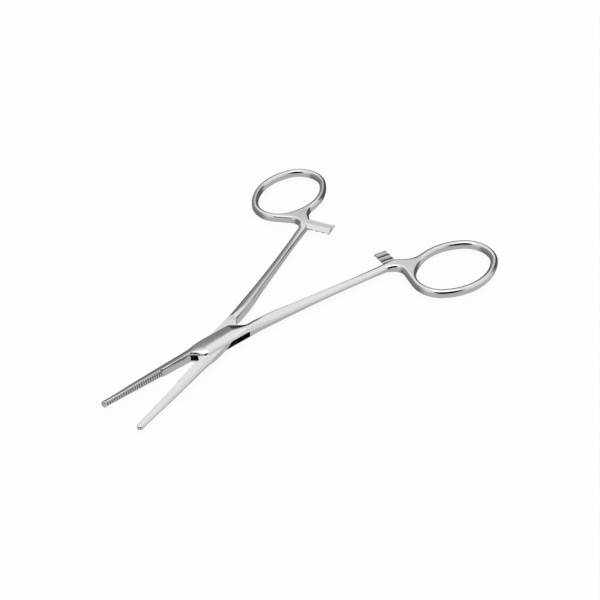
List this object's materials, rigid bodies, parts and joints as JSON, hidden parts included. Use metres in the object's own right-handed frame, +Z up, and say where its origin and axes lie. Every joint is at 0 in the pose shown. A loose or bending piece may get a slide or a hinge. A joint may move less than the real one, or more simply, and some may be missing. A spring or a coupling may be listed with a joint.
{
  "type": "hemostat forceps",
  "caption": "Straight box-lock hemostat forceps with serrated jaws, a ratchet between the shanks and oval finger rings.",
  "frame": {"origin": "on the pivot axis, at the flat underside of the box lock", "axes": "+Y from the pivot towards the jaw tips, along the line midway between the halves; +Z up along the pivot pin, out of the flat underside; +X to the right across the instrument"},
  "size_m": [0.0958, 0.1348, 0.0045],
  "materials": {
    "instrument_steel": "polished",
    "pin_steel": "polished"
  },
  "bodies": {
    "box_frame": {"box_half": "instrument_steel", "pivot_pin": "pin_steel"},
    "tongue_arm": {"tongue_half": "instrument_steel"}
  },
  "joints": [
    {"name": "box_lock", "type": "hinge", "parent": "box_frame", "child": "tongue_arm", "pos_m": [0, 0, 0.00225], "axis": [0, 0, 1], "range_deg": [-18, 42]}
  ]
}
